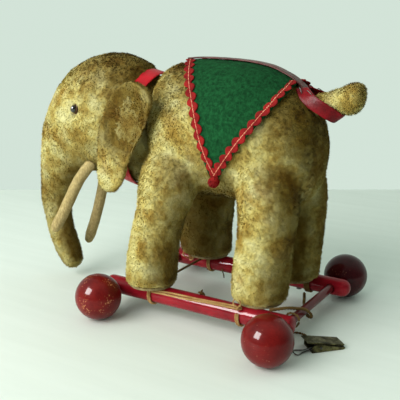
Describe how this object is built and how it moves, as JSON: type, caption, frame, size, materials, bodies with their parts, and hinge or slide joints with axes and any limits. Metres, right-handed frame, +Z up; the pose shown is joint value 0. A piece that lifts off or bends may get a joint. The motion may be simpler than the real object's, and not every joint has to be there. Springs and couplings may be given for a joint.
{
  "type": "pull-along toy",
  "caption": "Stuffed plush elephant with a saddle cloth, standing on a red wooden frame that rolls on ball wheels, with a tether clip behind.",
  "frame": {"origin": "on the floor, under the middle of the toy without its tether and clip", "axes": "+Z up; the elephant faces -X and its left side is towards -Y, so the axles lie along Y"},
  "size_m": [0.3108, 0.193, 0.2138],
  "materials": {
    "plush": "golden olive mohair plush, worn and mottled",
    "red_paint": "gloss red enamel paint on wood",
    "ball_paint": "gloss dark red enamel paint on a turned ball",
    "felt": "green wool felt",
    "braid": "red woven wavy braid",
    "leather": "smooth red leather cloth",
    "tusk_felt": "cream felt, stuffed",
    "glass_eye": "dark polished glass",
    "sole_felt": "pale felt",
    "steel": "dull steel",
    "cord": "tan braided cord",
    "old_cord": "dark brown aged cord",
    "bronze": "aged, darkened"
  },
  "bodies": {
    "frame": {"side_rail_left": "red_paint", "side_rail_right": "red_paint", "torso": "plush", "leg_front_left": "plush", "foot_sole_front_left": "sole_felt", "foot_nail_front_left": "steel", "leg_front_right": "plush", "foot_sole_front_right": "sole_felt", "foot_nail_front_right": "steel", "leg_rear_left": "plush", "foot_sole_rear_left": "sole_felt", "foot_nail_rear_left": "steel", "leg_rear_right": "plush", "foot_sole_rear_right": "sole_felt", "foot_nail_rear_right": "steel", "head": "plush", "ear_left": "plush", "eye_left": "glass_eye", "tusk_left": "tusk_felt", "ear_right": "plush", "eye_right": "glass_eye", "tusk_right": "tusk_felt", "collar": "leather", "tail": "plush", "saddle_cloth": "felt", "cloth_trim_front_left": "braid", "cloth_trim_rear_left": "braid", "pom_pom_left": "braid", "cloth_trim_front_right": "braid", "cloth_trim_rear_right": "braid", "pom_pom_right": "braid", "back_strap": "leather", "crupper_strap": "leather", "rail_cord": "cord", "rail_cord_knot": "cord", "rail_tie_front_left": "cord", "rail_tie_rear_left": "cord", "rail_tie_front_right": "cord", "cross_lashing_knot": "cord", "rail_tie_rear_right": "old_cord", "cross_lashing": "old_cord", "rail_knot_left": "old_cord", "rod_lashing": "old_cord", "axle_loop": "old_cord", "tether_cord": "old_cord", "clip_body": "bronze", "clip_pin": "steel", "clip_spring": "steel", "clip_loop": "steel"},
    "front_wheelset": {"front_axle": "red_paint", "wheel_front_left": "ball_paint", "wheel_front_right": "ball_paint"},
    "rear_wheelset": {"rear_axle": "red_paint", "wheel_rear_left": "ball_paint", "wheel_rear_right": "ball_paint"},
    "clip_jaw": {"clip_jaw": "bronze"}
  },
  "joints": [
    {"name": "front_axle_spin", "type": "hinge", "parent": "frame", "child": "front_wheelset", "pos_m": [-0.0362, 0, 0.019], "axis": [0, 1, 0], "continuous": true},
    {"name": "rear_axle_spin", "type": "hinge", "parent": "frame", "child": "rear_wheelset", "pos_m": [0.1188, 0, 0.019], "axis": [0, 1, 0], "continuous": true},
    {"name": "clip_open", "type": "hinge", "parent": "frame", "child": "clip_jaw", "pos_m": [0.13839, -0.03361, 0.0036], "axis": [0.7314, -0.682, 0], "range_deg": [0, 22], "stiffness_Nm_per_rad": 0.05}
  ]
}
